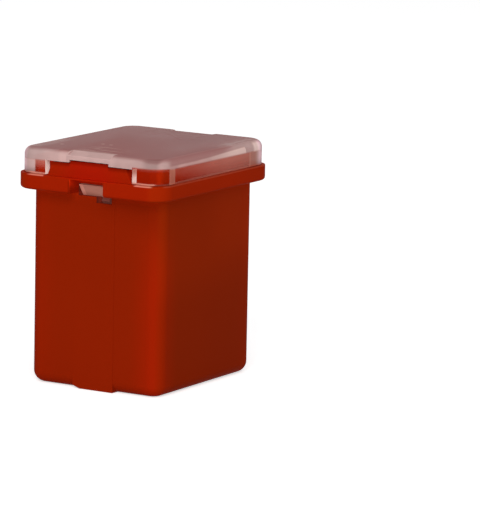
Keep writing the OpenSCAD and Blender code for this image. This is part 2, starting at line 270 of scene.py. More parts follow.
def weigh_edges(mesh, edge, angle):
    """Bevel weight 1 on each sharp raised edge whose two faces are wide enough for the round, else 0.

    An edge is sharp where its faces' normals part by more than the angle. It is raised where the
    second face's normal points away from the inside of the first face, which is the first normal
    crossed with the edge as that face runs along it. The width of a face beside an edge is its area
    over the edge's length, and it has to be three rounds or more."""
    normals, areas = read(mesh.polygons, "normal", 3), read(mesh.polygons, "area")
    totals = read(mesh.polygons, "loop_total", kind=np.int32)
    edge_of = read(mesh.loops, "edge_index", kind=np.int32)
    begins = read(mesh.loops, "vertex_index", kind=np.int32)
    ends, places = read(mesh.edges, "vertices", 2, np.int32), read(mesh.vertices, "co", 3)
    span = places[ends[:, 1]] - places[ends[:, 0]]
    reach = np.linalg.norm(span, axis=1) + 1e-12
    face_of = np.repeat(np.arange(len(areas)), totals)
    order = np.argsort(edge_of, kind="stable")
    found, first, count = np.unique(edge_of[order], return_index=True, return_counts=True)
    pair, start = found[count == 2], first[count == 2]
    one, two = face_of[order[start]], face_of[order[start + 1]]
    way = np.where(begins[order[start]] == ends[pair, 0], 1.0, -1.0)[:, None]
    inside = np.cross(normals[one], span[pair] * way)
    raised = np.einsum("ij,ij->i", normals[two], inside) < 0
    sharp = np.einsum("ij,ij->i", normals[one], normals[two]) < math.cos(math.radians(angle))
    room = np.minimum(areas[one], areas[two]) / reach[pair] > 3 * edge
    weights = np.zeros(len(ends))
    weights[pair] = sharp & raised & room
    store(mesh, "bevel_weight_edge", "EDGE", weights)


def grid_mesh(name, points):
    """A mesh from an array of points (rows, columns, 3): neighbours on the grid make quads.

    Rows run from one end of the surface to the other and columns go round it."""
    rows, columns = points.shape[:2]
    index = np.arange(rows * columns).reshape(rows, columns)
    ahead = np.roll(index, -1, axis=1)
    quads = np.stack([index[:-1], ahead[:-1], ahead[1:], index[1:]], axis=-1).reshape(-1, 4)
    mesh = bpy.data.meshes.new(name)
    mesh.from_pydata(points.reshape(-1, 3), [], quads)
    mesh.update()
    return mesh


# ------------------------------------------------------------------ fields over a surface


def feed(node, **inputs):
    """Links fields to a node's inputs or sets them to plain values, by name with _ for a space."""
    for label, given in inputs.items():
        connect(node.inputs[label.replace("_", " ")], given)


def connect(socket, given):
    """Links a field to an input socket, or gives the socket a number or a colour of its own."""
    if isinstance(given, Field):
        given.tree.links.new(given.socket, socket)
    elif socket.type == "RGBA":
        socket.default_value = (*given[:3], 1)
    else:
        socket.default_value = given


def by(operation):
    """A method that adds a Math node, fed with the field itself and then with what it is given."""

    def method(field, *others):
        node = field.tree.nodes.new("ShaderNodeMath")
        node.operation = operation
        for socket, given in zip(node.inputs, (field, *others)):
            connect(socket, given)
        return Field(node.outputs[0])

    return method


class Field:
    """A number, colour or place that varies over a surface: a node's output, with sums on it.

    Each operation adds a node to the output's own tree and gives that node's output."""

    def __init__(self, socket):
        self.socket = socket
        self.tree = socket.id_data

    __abs__ = by("ABSOLUTE")
    __add__ = __radd__ = by("ADD")
    __mul__ = __rmul__ = by("MULTIPLY")
    __pow__ = by("POWER")
    __sub__ = by("SUBTRACT")
    __truediv__ = by("DIVIDE")
    times_plus = by("MULTIPLY_ADD")
    exponent, root, sign = by("EXPONENT"), by("SQRT"), by("SIGN")
    greater, lesser = by("MAXIMUM"), by("MINIMUM")

    def __rsub__(self, number):
        return self.times_plus(-1.0, number)

    def rise(self, low, high, start=0.0, end=1.0):
        """The field mapped smoothly from low..high to start..end."""
        node = self.tree.nodes.new("ShaderNodeMapRange")
        node.interpolation_type = "SMOOTHSTEP"
        feed(node, Value=self, From_Min=low, From_Max=high, To_Min=start, To_Max=end)
        return Field(node.outputs["Result"])

    def fall(self, low, high):
        """1 below low and 0 above high."""
        return self.rise(low, high, 1.0, 0.0)

    def before(self, edge, half_width):
        """1 below the edge and 0 above it, over twice the half width."""
        return self.fall(edge - half_width, edge + half_width)

    def between(self, start, end):
        """The start where the field is 0, and the end where it is 1."""
        return self.rise(0.0, 1.0, start, end)


def fields_of(node):
    """A node's outputs as fields, by name."""
    return {socket.name: Field(socket) for socket in node.outputs}


def length(*parts):
    """The root of the sum of the parts' squares."""
    total = parts[0] * parts[0]
    for part in parts[1:]:
        total = total + part * part
    return total.root()


def weighed(start, *parts):
    """The start plus each part, a field times its share."""
    for field, share in parts:
        start = field.times_plus(share, start)
    return start


def mixed(mask, first, second):
    """The first colour where the mask is 0, and the second where it is 1."""
    node = mask.tree.nodes.new("ShaderNodeMix")
    node.data_type = "RGBA"
    for index, given in ((0, mask), (6, first), (7, second)):
        connect(node.inputs[index], given)
    return Field(node.outputs[2])


def layered(colour, *layers):
    """The colour with each layer, a mask and another colour, laid over it in turn."""
    for mask, other in layers:
        colour = mixed(mask, colour, other)
    return colour


def times(colour, *factors):
    """The colour times other colours or numbers, all fields."""
    for factor in factors:
        node = colour.tree.nodes.new("ShaderNodeVectorMath")
        node.operation = "MULTIPLY"
        connect(node.inputs[0], colour)
        connect(node.inputs[1], factor)
        colour = Field(node.outputs[0])
    return colour


def scaled(colour, factor, most=1.0):
    """A plain colour times a factor, with no part over the most."""
    return tuple(min(most, factor * part) for part in colour)


def axes(place):
    """X, Y and Z of a place, in millimetres."""
    split = place.tree.nodes.new("ShaderNodeSeparateXYZ")
    feed(split, Vector=place)
    return [Field(socket) * (1 / MM) for socket in split.outputs]


def noise(place, scale, detail=2.0, rough=0.5, stretch=None):
    """A noise texture's value over the place, stretched along the axes where asked."""
    nodes = place.tree.nodes
    if stretch:
        mapping = nodes.new("ShaderNodeMapping")
        feed(mapping, Vector=place, Scale=stretch)
        place = Field(mapping.outputs["Vector"])
    node = nodes.new("ShaderNodeTexNoise")
    feed(node, Vector=place, Scale=scale, Detail=detail, Roughness=rough)
    return Field(node.outputs["Fac"])


def attribute(tree, name):
    """A number stored on the mesh's faces."""
    node = tree.nodes.new("ShaderNodeAttribute")
    node.attribute_name = name
    return Field(node.outputs["Fac"])


def bump(height, strength, distance):
    """The normal that a height gives through a Bump node."""
    node = height.tree.nodes.new("ShaderNodeBump")
    feed(node, Strength=strength, Distance=distance, Height=height)
    return Field(node.outputs["Normal"])


# ------------------------------------------------------------------ node groups
#
# The numbers in the masks are places and widths in millimetres, and shares from 0 to 1.


def new_group(name, **inputs):
    """A shader node group fed with a Vector and with numbers, and those as fields, by name."""
    group = bpy.data.node_groups.new(name, "ShaderNodeTree")
    group.interface.new_socket("Vector", in_out="INPUT", socket_type="NodeSocketVector")
    for key, value in inputs.items():
        label = key.replace("_", " ")
        socket = group.interface.new_socket(label, in_out="INPUT", socket_type="NodeSocketFloat")
        socket.default_value = value
    return group, fields_of(group.nodes.new("NodeGroupInput"))


def put_out(group, masks):
    """The group, with an output for each named field."""
    for label in masks:
        group.interface.new_socket(label, in_out="OUTPUT", socket_type="NodeSocketFloat")
    result = group.nodes.new("NodeGroupOutput")
    for label, field in masks.items():
        connect(result.inputs[label], field)
    return group


def moulded_group():
    """Moulded plastic: fine grain with slow waves for the height, a slow drift of tone, and rubs."""
    group, given = new_group("Moulded Surface", Grain_Scale=9000.0, Wave_Scale=260.0)
    place = given["Vector"]
    grain = noise(place, given["Grain Scale"], 3.0, 0.6)
    waves = noise(place, given["Wave Scale"], 1.0, 0.4)
    drift = noise(place, 140.0, 2.0, 0.45)
    rubs = noise(place, 1400.0, 4.0, 0.7, (1.0, 1.0, 0.12))
    return put_out(group, {
        "Height": waves.times_plus(3.0, grain), "Drift": drift.rise(0.3, 0.7), "Rubs": rubs.rise(0.6, 0.78)})


def rolled_group():
    """Rolled strip: fine lines along Z for the height, and a blotchy tone for the plating."""
    group, given = new_group("Rolled Strip", Scale=6000.0)
    lines = noise(given["Vector"], given["Scale"], 3.0, 0.6, (1.0, 1.0, 0.03))
    blotches = noise(given["Vector"], 900.0, 3.0, 0.6)
    return put_out(group, {"Height": lines, "Tone": blotches.rise(0.35, 0.65)})


def body_regions_group():
    """Masks over the red moulding, from its position, that place its painted light and shade."""
    flange_top = COVER_HIGH.z / MM - COVER_RISE
    group, given = new_group(
        "Body Regions", Half_Length=HOUSING_HIGH.x / MM - 1.2, Half_Depth=HOUSING_HIGH.y / MM - 0.75,
        Reach=2.7, Flange_Foot=flange_top - FLANGE_HEIGHT, Flange_Top=flange_top, Latch_Half=1.43)
    at = BodyPlaces(given)
    return put_out(group, {**body_light(at, given), **latch_window(at, given), **flange_and_lug(at)})


class BodyPlaces:
    """Where a point of the moulding lies, in millimetres.

    out_x and out_y run outwards from the upright lines in the corners, off_y from the middle, and
    above and over upwards from the flange's foot and from its top. The fuse is the same after half
    a turn, so across is y with its sign turned on the -X side, and along is x with its sign turned
    on the -Y side. like is 1 where x and y have one sign, wide on the wide sides and narrow on the
    narrow ones."""

    def __init__(self, given):
        x, y, z = axes(given["Vector"])
        self.off_y = abs(y)
        self.out_x = abs(x) - given["Half Length"]
        self.out_y = self.off_y - given["Half Depth"]
        self.across = y * x.sign()
        self.along = x * y.sign()
        self.above = z - given["Flange Foot"]
        self.over = z - given["Flange Top"]
        self.like = self.across.rise(-0.01, 0.01)
        self.narrow = self.out_y.fall(-0.6, -0.1)
        self.wide = 1 - self.narrow


def body_light(at, given):
    """Where painted light and shade fall on the body below the flange.

    Corner is painted light that rises towards the upright corners: the distance from a corner's
    line is the length of (out_x, out_y). At the like corners it fades out upwards, and at the others
    it is weak. Shade is the painted shadow below the flange on the narrow sides, deeper towards the
    like corner. Lift is the painted brighter light just below the flange: it falls off downwards as a
    power of e, is weak below the latch window and reaches further down at the wide sides' unlike end.
    Side is the wide sides, which take a painted tint of light, and Deep their lower half, painted darker."""
    below = at.above.fall(-0.02, 0.02)
    fade = at.above.rise(-7.2, 0.1, 0.6, -0.4)
    corner = length(at.out_x, at.out_y).fall(0.2, given["Reach"]) * at.like.times_plus(fade, 0.4)
    shade = at.above.rise(at.across.rise(-4.0, 5.0, -1.2, -3.4), -0.5) * at.across.rise(-4.0, 5.0, 0.2, 1.0)
    # Painted light: the brighter band just below the flange, falling off downwards as a power of e
    painted_glow = (at.above * at.narrow.between(4.0, 5.5)).exponent() * (at.narrow * 1.5 + 1.0)
    far = at.wide * at.along.rise(1.0, -3.0) * at.above.rise(-6.0, -3.0, 0.0, 0.1)
    lift = painted_glow.lesser(1.3) * at.off_y.rise(1.3, 1.9, 0.15, 1.0) + far
    return {"Corner": corner, "Shade": shade * at.narrow * below, "Lift": lift * below, "Side": at.wide,
            "Deep": at.wide * at.above.fall(-8.5, -4.5)}


def latch_window(at, given):
    """The flange's opening for the latch, with painted light and shade in it.

    Recess is the notch in front of the latch, painted lighter, and Roof its upper stretch, painted
    lighter still. Pocket is what lies behind the wall there, painted as shade with a faint painted glow,
    and Jamb is the notch's upright edge on the unlike side, painted darker."""
    opening = (at.off_y - given["Latch Half"]).fall(-0.02, 0.02) * at.over.fall(-0.12, -0.06)
    opening = opening * at.above.rise(-0.75, -0.65)
    outer = at.out_x.rise(-0.06, -0.02)
    jamb = abs(at.off_y - 1.45).fall(0.04, 0.12) * at.above.rise(0.0, 0.05) * at.over.fall(-0.3, -0.1)
    return {"Recess": opening * outer * at.above.rise(-0.04, 0.0), "Pocket": opening * (1 - outer),
            "Roof": opening * outer * at.above.rise(0.2, 0.95), "Jamb": jamb * (1 - at.like)}


def flange_and_lug(at):
    """What stands above the flange's foot.

    Flange is all of it and Rim is what the cover encloses; both are painted a brighter red. Window is
    the rim seen through the clearer corners, painted darker, and Lip the lit line along the flange's
    upper edge, a painted highlight. Lug is the lug on a narrow side, Lug Top and Lug Foot its upper
    and lower edges, painted darker and lighter, and Middle fades out from the middle of its length."""
    rim = at.out_x.greater(at.out_y).fall(0.23, 0.3) * at.over.rise(0.0, 0.04)
    window = rim * at.like * at.out_x.rise(-0.2, 0.0) * at.off_y.rise(3.6, 3.7) * at.off_y.fall(5.0, 5.4)
    ahead = at.off_y.fall(3.6, 3.64) * at.out_x.rise(0.5, 0.6)
    lug = ahead * at.over.rise(-0.08, -0.04)
    crown = at.over - at.off_y.rise(1.55, 1.7, 1.2, 1.0)
    edge = at.over.rise(-0.1, -0.06) * at.over.fall(0.01, 0.03)
    lip = at.off_y.rise(at.like.between(3.6, 3.9), at.like.between(3.7, 4.2)) * at.out_x.rise(0.8, 0.86)
    lip = at.off_y.fall(at.like.between(4.6, 5.2), at.like.between(5.2, 5.5)) * lip
    return {"Flange": at.above.rise(-0.1, 0.2), "Rim": rim, "Window": window, "Lug": lug,
            "Middle": at.off_y.fall(0.6, 3.4), "Lug Top": ahead * crown.rise(-0.36, -0.05),
            "Lug Foot": lug * at.over.fall(0.05, 0.26),
            "Lip": edge * lip.greater(at.out_y.rise(0.45, 0.5, 0.0, 0.12))}


def cover_group():
    """Masks over the clear cover, from its position, that place its haze and its painted light."""
    group, given = new_group(
        "Cover Regions", Half_Length=COVER_HIGH.x / MM, Half_Depth=COVER_HIGH.y / MM,
        Top_Height=COVER_HIGH.z / MM, Plate=0.72, Round=0.55, Corner=1.4, Height=COVER_RISE,
        Notch_Half=3.66, Relief_Half=1.87, Relief_Depth=0.95)
    at = CoverPlaces(given)
    edges = cover_edges(at, given)
    return put_out(group, {
        **edges, **cover_wedge(at), **skirt_haze(at, edges["Wall"]), **latch_light(at),
        **cover_wear(at, given["Vector"])})


class CoverPlaces:
    """Where a point of the cover lies, in millimetres.

    in_x and in_y run inwards from the sides, off_y from the middle, depth downwards from the top and
    above upwards from the skirt's foot. inward runs in from a rounded rectangle: it is the corner
    radius less the length of (radius - in_x, radius - in_y), each no less than 0. along runs from 1
    to -1 along each wide side, from the corner where x and y have one sign, which is like, to the
    unlike one. shine rises from 0 to 1 that way, and peak is its sixth power. wide is 1 on the wide
    sides and narrow on the rest."""

    def __init__(self, given):
        radius = given["Corner"]
        self.x, self.y, z = axes(given["Vector"])
        self.off_y = abs(self.y)
        self.in_x = given["Half Length"] - abs(self.x)
        self.in_y = given["Half Depth"] - self.off_y
        self.inward = radius - length((radius - self.in_x).greater(0.0), (radius - self.in_y).greater(0.0))
        self.depth = given["Top Height"] - z
        self.above = given["Height"] - self.depth
        turned = self.x * self.y.sign()
        self.along = turned / given["Half Length"]
        self.shine = self.along.rise(0.45, -0.45)
        self.peak = self.shine ** 6
        self.like = turned.rise(-0.3, 0.3)
        self.unlike = 1 - self.like
        self.wide = self.in_y.fall(0.7, 1.0) * self.in_x.rise(0.9, 1.6)
        self.narrow = 1 - self.wide


def cover_edges(at, given):
    """The pale round top edge, the notch and the finger reliefs.

    Band is the edge with the reliefs, pale with painted light, Tone the brightness of that light and
    Crest its top line, which is sunk on the narrow sides near a like corner. Upper is the edge over the
    painted bright wedge on the wide sides, which starts deeper the nearer it lies to a like corner.
    Wall is the skirt below the edge, and Skin the outside of the cover."""
    ring = at.inward.fall(given["Round"] * 0.5, given["Round"])
    plate = at.depth.before(given["Plate"] + at.narrow * at.like.between(0.1, -0.06), 0.09)
    notch = at.off_y.before(given["Notch Half"], 0.04) * at.depth.before(0.88, 0.02)
    relief = at.off_y.before(given["Relief Half"], 0.03) * at.in_x.before(given["Relief Depth"], 0.04)
    relief = relief * at.depth.before(0.75, 0.02)
    start = at.along.rise(-0.75, 0.5, 0.25, 0.5) + at.along.fall(-0.59, -0.54)
    over = ring * at.wide * (at.depth - start).fall(-0.06, 0.06) * at.along.rise(-0.73, -0.68)
    sloped = relief * at.depth.rise(0.01, 0.04) * at.depth.before(0.32, 0.02)
    sunk = at.off_y.rise(3.8, 5.4, 0.0, 0.18) + at.off_y.rise(5.5, 5.8, 0.0, -0.12)
    crest = (at.depth - at.narrow * at.like * sunk).rise(0.0, 0.22, 0.7, 0.0)
    outside = at.inward.before(0.5, 0.05).greater(at.depth.before(0.05, 0.03))
    return {"Band": (ring * plate.greater(notch) * (1 - over)).greater(relief),
            "Tone": band_tone(at, sloped), "Crest": crest * (1 - relief), "Upper": over * plate,
            "Wall": (1 - plate) * (1 - notch), "Skin": relief.greater(outside)}


def band_tone(at, sloped):
    """Brightness of the painted light in the pale edge.

    The narrow sides are dimmer towards the corners, with a brighter patch beside the relief at the
    unlike end. The reliefs' slopes and the wide sides near the like corners are brighter."""
    dim_like = at.off_y.rise(4.1, 5.0) * at.off_y.before(5.6, 0.15) * 0.25
    dim_like = dim_like + at.off_y.rise(1.8, 2.4, 0.0, 0.08) + at.off_y.rise(5.65, 5.9, 0.0, -0.02)
    dim = at.like * dim_like + at.unlike * at.off_y.rise(3.6, 4.4, 0.0, 0.14)
    patch = at.unlike * at.narrow * at.off_y.rise(1.87, 1.93) * at.off_y.fall(2.3, 2.7)
    near = at.wide * at.along.rise(0.1, 0.3) * at.along.fall(0.66, 0.75)
    return weighed(1 - at.narrow * dim, (sloped, 0.12), (patch, 0.14), (near, 0.22))


def cover_wedge(at):
    """The painted bright wedge of light on the wide sides.

    Wedge is its brightness, which rises towards the unlike corner, and Rise the brightness of what
    lies over it."""
    rise = at.depth.rise(at.peak.times_plus(-0.1, 0.04), at.peak.times_plus(-0.2, 0.32))
    return {"Wedge": at.shine * at.wide, "Rise": rise * at.peak.times_plus(0.72, 0.2)}


def skirt_haze(at, wall):
    """The haze in the skirt, with painted light in it.

    Side is the haze of the unlike corners with painted light: paler by Pale, darker by Low and
    brightest by Ends, and Post the streak beside the like ones. Fog thins out downwards and towards
    the like corners, and Clear is the narrow sides' clearest part. Foot is the skirt's lowest line,
    a painted highlight, and Near Foot the part of it on the narrow sides, which also gets a painted glow."""
    side = at.in_x.fall(2.5, 2.9).greater(at.narrow) * at.in_y.fall(1.48, 1.65)
    post = at.in_x.rise(1.09, 1.16) * at.in_x.before(1.84, 0.04) * at.in_y.before(0.4, 0.05)
    thin = at.depth.fall(0.85, 1.55)
    wide_fog = at.along.rise(0.85, -0.35, 0.0, 0.4) + thin * 0.16
    narrow_fog = at.like * at.depth.rise(0.7, 0.95, 0.1, 0.0) + at.unlike * thin * 0.42
    fog = at.wide * wide_fog + at.narrow * narrow_fog
    foot_line = at.like * at.off_y.rise(5.3, 5.6, 1.0, 0.05) + at.unlike * at.off_y.rise(4.8, 5.2, 1.0, 0.4)
    foot = at.above.before(0.14, 0.03) * (at.narrow * foot_line + at.wide * 0.5) * wall
    return {"Wide": at.wide, "Like": at.like, "Side": side * wall * at.unlike,
            "Pale": at.in_x.fall(1.3, 2.1).greater(at.narrow), "Low": at.depth.rise(1.2, 1.8),
            "Ends": at.unlike * at.in_y.fall(0.4, 0.95) * at.in_x.fall(1.1, 1.8),
            "Post": post * wall * at.like, "Fog": fog * wall, "Clear": at.like * at.narrow * wall,
            "Foot": foot, "Near Foot": foot * at.narrow}


def latch_light(at):
    """The latch arm and the end faces.

    Strip is the arm's paler edge, Latch Edge the lit edges of its hook, which take a painted glow, and
    Bright the lower and brighter stretch of the end faces, where the painted light is stronger."""
    return {"Strip": at.unlike * at.off_y.rise(0.92, 1.0), "Bright": at.depth.rise(0.9, 1.6),
            "Latch Edge": at.depth.before(2.3, 0.04) + at.depth.rise(2.7, 2.9, 0.0, 0.12)}


def cover_wear(at, place):
    """The wear and unevenness of the surface.

    Mottle is the unevenness of the pale edge, Milky the rubbed top along the wedge, partly wear and
    partly painted sheen, and Scuffs the short scratches and the flecks on the top. A fleck fades with
    the distance from its point."""
    top = at.depth.before(0.06, 0.03)
    rubbed = noise(place, 2600.0, 2.0, 0.6, (0.35, 1.0, 1.0)).rise(0.3, 0.6, 0.25, 0.9)
    # Partly wear, partly painted sheen: the rubs show only where the wedge's painted light falls
    milky = top * at.in_y.fall(0.4, 1.9) * at.in_x.rise(0.3, 1.2) * at.peak * rubbed
    worn = noise(place, 5200.0, 2.0, 0.6, (1.0, 0.09, 1.0)).rise(0.52, 0.62)
    scuffs = top * at.off_y.fall(0.6, 2.6) * at.x.rise(-7.4, -6.0) * at.x.fall(-4.5, -3.0) * worn
    for x, y in FLECKS:
        scuffs = scuffs.greater(length(at.x - x, at.y - y, at.depth).fall(0.05, 0.22))
    return {"Mottle": noise(place, 900.0).rise(0.35, 0.65), "Milky": milky, "Scuffs": scuffs}


GROUP_MAKERS = {"Moulded Surface": moulded_group, "Body Regions": body_regions_group,
                "Rolled Strip": rolled_group, "Cover Regions": cover_group}


def placed(name, place, **values):
    """The outputs of a shared group in a material, fed with the place and the material's own values."""
    node = place.tree.nodes.new("ShaderNodeGroup")
    node.node_tree = bpy.data.node_groups.get(name) or GROUP_MAKERS[name]()
    feed(node, Vector=place, **values)
    return fields_of(node)


# ------------------------------------------------------------------ materials


def find_node(tree, kind):
    """The first node of a kind in a tree."""
    return next(node for node in tree.nodes if node.type == kind)


def new_material(name):
    """A node material, its Principled BSDF, and its Object coordinates as a field."""
    material = bpy.data.materials.new(name)
    material.use_nodes = True
    place = material.node_tree.nodes.new("ShaderNodeTexCoord").outputs["Object"]
    return material, find_node(material.node_tree, "BSDF_PRINCIPLED"), Field(place)


def red_plastic(settings):
    """Satin red moulding with painted light and shade: a clearer, brighter red at the flange, the rim and
    the upright corners, and painted light and shade below the flange, at the lug and in the latch window.
    """
    material, shader, place = new_material("Red moulded plastic")
    surface = placed("Moulded Surface", place)
    regions = placed("Body Regions", place)
    lug = mixed(regions["Middle"], settings.painted_glow, settings.lug)
    # Painted light and shade: the brighter red of the corners, the flange, the rim and the recess, the
    # painted shade of the pocket and the painted highlight of the lip; the lug's purer red and the drift are
    # the moulding's own
    colour = layered(
        settings.red, (regions["Corner"].greater(regions["Flange"]), settings.painted_glow),
        (regions["Rim"], scaled(settings.painted_glow, 1.35)), (regions["Recess"], scaled(settings.painted_glow, 1.12)),
        (regions["Pocket"], settings.window_shade), (regions["Lug"], lug), (regions["Lip"], settings.lip),
        (surface["Drift"] * 0.25, scaled(settings.red, 0.9)))
    # Painted light and shade as a factor: Shade, Deep, Lug Top, Window and Jamb darken, Lift, Lug Foot and
    # Roof brighten
    tone = weighed(
        1.0, (regions["Shade"], -0.14), (regions["Lift"], 1.0), (regions["Deep"], -0.11),
        (regions["Lug Top"], -0.38), (regions["Lug Foot"], 0.1), (regions["Roof"], 0.8),
        (regions["Window"], -0.28), (regions["Jamb"], -0.3))
    # The wide sides take a painted tint of light, and the pocket a painted glow
    feed(shader, Base_Color=times(colour, tone, mixed(regions["Side"], WHITE, SIDE_LIGHT_TINT)),
         Emission_Color=mixed(regions["Pocket"], BLACK, WINDOW_LIGHT), Emission_Strength=settings.through,
         Roughness=surface["Rubs"].times_plus(-0.06, settings.roughness), Specular_IOR_Level=0.004,
         Normal=bump(surface["Height"], 0.12, 0.02 * MM))
    return material


def clear_plastic(settings):
    """Clear moulding: see-through walls, paler at glancing angles by painted reflection, with painted light
    in the round edges and end faces.
    """
    material, shader, place = new_material("Clear moulded plastic")
    surface = placed("Moulded Surface", place, Grain_Scale=5000.0, Wave_Scale=420.0)
    regions = placed("Cover Regions", place)
    for name in ("end_face", "hook"):
        regions[name] = attribute(place.tree, name)
    # Painted light on the end faces: brighter at the unlike corners; at the like ones painted shade on the
    # upper stretch and a brighter pale lower down
    end_colour = mixed(regions["Like"], scaled(settings.rim, 1.15),
                       mixed(regions["Bright"], settings.end_top_shade, scaled(settings.rim, 1.1)))
    feed(shader, Base_Color=cover_colour(settings, regions, end_colour),
         # A painted glow for the light that the clear moulding pipes to the end faces, the skirt's foot and
         # the hook's edges
         Emission_Color=piped_light(settings, regions, end_colour), Emission_Strength=settings.piped,
         Alpha=held_back(settings, regions, surface["Rubs"]),
         Roughness=surface["Drift"].times_plus(0.08, settings.roughness), Specular_IOR_Level=0.001,
         Normal=bump(surface["Height"], 0.15, 0.03 * MM))
    return material


def cover_colour(settings, regions, end_colour):
    """The haze's colour, with painted light and reflection in most of it: top and walls, then the wide
    sides' upper edge, the streak and the hazier ends, the round edge, the wear, the skirt's foot, the
    latch arm and the end faces over them. The wear is the cover's own."""
    plain = mixed(regions["Mottle"] * 0.5, settings.band, scaled(settings.band, 0.85))
    pale = mixed(regions["Wedge"] * 0.72, plain, settings.rim)
    pale = mixed(regions["Crest"], pale, settings.clear)
    # Painted light: the outermost stretch of the unlike corners made brighter and bluer
    outermost = mixed(regions["Ends"], WHITE, CORNER_LIGHT_GAIN)
    far = mixed(regions["Low"], settings.far, settings.far_low)
    haze = mixed(regions["Low"], scaled(settings.band, 0.98), scaled(settings.band, 0.6))
    return layered(
        mixed(regions["Wall"], settings.clear, settings.warm),
        (regions["Upper"], mixed(regions["Rise"], settings.clear, plain)),
        (regions["Post"], settings.streak),
        (regions["Side"], times(mixed(regions["Pale"], far, haze), outermost)),
        (regions["Band"], times(pale, regions["Tone"], outermost)),
        (regions["Scuffs"] * 0.3, settings.rim),
        (regions["Foot"], settings.foot),
        (regions["Milky"], scaled(settings.band, 0.95)),
        (regions["Near Foot"], scaled(settings.latch, 1.3)),
        (regions["hook"], mixed(regions["Strip"], settings.latch, scaled(settings.latch, 1.45))),
        (regions["end_face"], end_colour))


def piped_light(settings, regions, end_colour):
    """Colour of the painted glow that stands for the light that leaves the skirt's foot, the end faces and
    the hook's edges.
    """
    return layered(
        BLACK, (regions["Near Foot"] * 0.8, settings.latch),
        (regions["end_face"], times(end_colour, regions["Bright"] * 1.8 + 1.0)),
        (regions["hook"] * regions["Latch Edge"], scaled(settings.latch, 3.4, most=2.0)))


def held_back(settings, regions, rubs):
    """Share of the light that the cover holds back, which is its alpha.

    It is the sum of the shares below on the outside, a tenth of that on the inner faces, and is
    higher on the hook and the end faces and low on the faces that are seen from behind."""
    tree = rubs.tree
    glance = tree.nodes.new("ShaderNodeLayerWeight")
    feed(glance, Blend=0.5)
    # At a glancing angle the walls hold back more, so that their colour shows there as a painted reflection
    steep = Field(glance.outputs["Facing"]).rise(0.5, 0.8)
    behind = Field(tree.nodes.new("ShaderNodeNewGeometry").outputs["Backfacing"])
    thick = (regions["Wide"] - regions["Wedge"]).times_plus(-0.15, 0.95)
    held = weighed(
        settings.haze, (regions["Clear"], -0.85 * settings.haze), (steep, settings.gloss),
        (regions["Band"] * thick, 1.0), (regions["Upper"], 0.95), (regions["Side"], 0.95),
        (regions["Post"], 0.6), (regions["Fog"], 1.0), (rubs, 0.03), (regions["Near Foot"], 0.35),
        (regions["Foot"], 0.55))
    held = held * regions["Skin"].times_plus(0.9, 0.1) + regions["hook"] * 0.93
    return (held * behind.times_plus(-0.85, 1.0)).greater(regions["end_face"] * 0.85).lesser(0.985)


def tinned_strip(settings):
    """Tin-plated copper alloy: grey rolled faces, bare warm metal on the stamped edges, and lances with a
    painted dark red shade and a painted red glow from the red moulding round them.
    """
    material, shader, place = new_material("Tinned strip")
    rolled = placed("Rolled Strip", place)
    x, _, z = axes(place)
    # Painted shade and glow: the lances stand deep in the red moulding, so they are painted dark red and
    # glow a faint red
    lance = abs(x).rise(5.8, 6.0) * z.rise(13.3, 13.6)
    plated = mixed(rolled["Tone"] * 0.5, settings.tin, scaled(settings.tin, 0.72))
    colour = mixed(attribute(place.tree, "cut_edge") * 0.8, plated, settings.bare)
    feed(shader, Base_Color=mixed(lance, colour, settings.lance_shade_and_glow), Metallic=1.0,
         Emission_Color=mixed(lance, BLACK, settings.lance_shade_and_glow), Emission_Strength=0.45,
         Roughness=weighed(settings.roughness, (rolled["Tone"], 0.12), (lance, 0.25)),
         Normal=bump(rolled["Height"], 0.2, 0.01 * MM))
    return material


def dull_tin(settings):
    """Pressed tin of the pellet, dull and finely pitted."""
    material, shader, place = new_material("Pressed tin")
    surface = placed("Moulded Surface", place, Grain_Scale=14000.0, Wave_Scale=1500.0)
    feed(shader, Base_Color=mixed(surface["Drift"], settings.tin, scaled(settings.tin, 1.15)), Metallic=1.0,
         Roughness=surface["Rubs"].times_plus(-0.1, settings.roughness + 0.15),
         Normal=bump(surface["Height"], 0.3, 0.02 * MM))
    return material


# ------------------------------------------------------------------ operators


class FUSE_OT_housing(bpy.types.Operator):
    """Makes the red housing with rounded edges"""

    bl_idname = "fuse.housing"
    bl_label = "Housing"

    def execute(self, context):
        settings = context.scene.fuse_housing
        housing = finished_copy("housing", "housing_moulding", settings.edge)
        housing.data.materials.append(red_plastic(settings))
        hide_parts("housing")
        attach(housing, "root")
        return {"FINISHED"}


class FUSE_OT_cover(bpy.types.Operator):
    """Makes the clear cover with its latch arms"""

    bl_idname = "fuse.cover"
    bl_label = "Cover"

    def execute(self, context):
        settings = context.scene.fuse_cover
        cover = finished_copy("cover", "clear_cover", settings.edge)
        lift_off_flange(cover.data)
        mark_end_faces(cover.data)
        cover.data.materials.append(clear_plastic(settings))
        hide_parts("cover")
        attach(cover, "root")
        return {"FINISHED"}


def lift_off_flange(mesh, gap=0.02 * MM):
    """Raises the skirt's lower face off the flange by a hair, so that the two faces don't coincide.

    A point whose height is the flange's top within a micron gets the gap added to its height."""
    points = read(mesh.vertices, "co", 3)
    flange_top = COVER_HIGH.z - COVER_RISE * MM
    points[np.abs(points[:, 2] - flange_top) < 0.001 * MM, 2] += gap
    mesh.vertices.foreach_set("co", points.ravel())
    mesh.update()


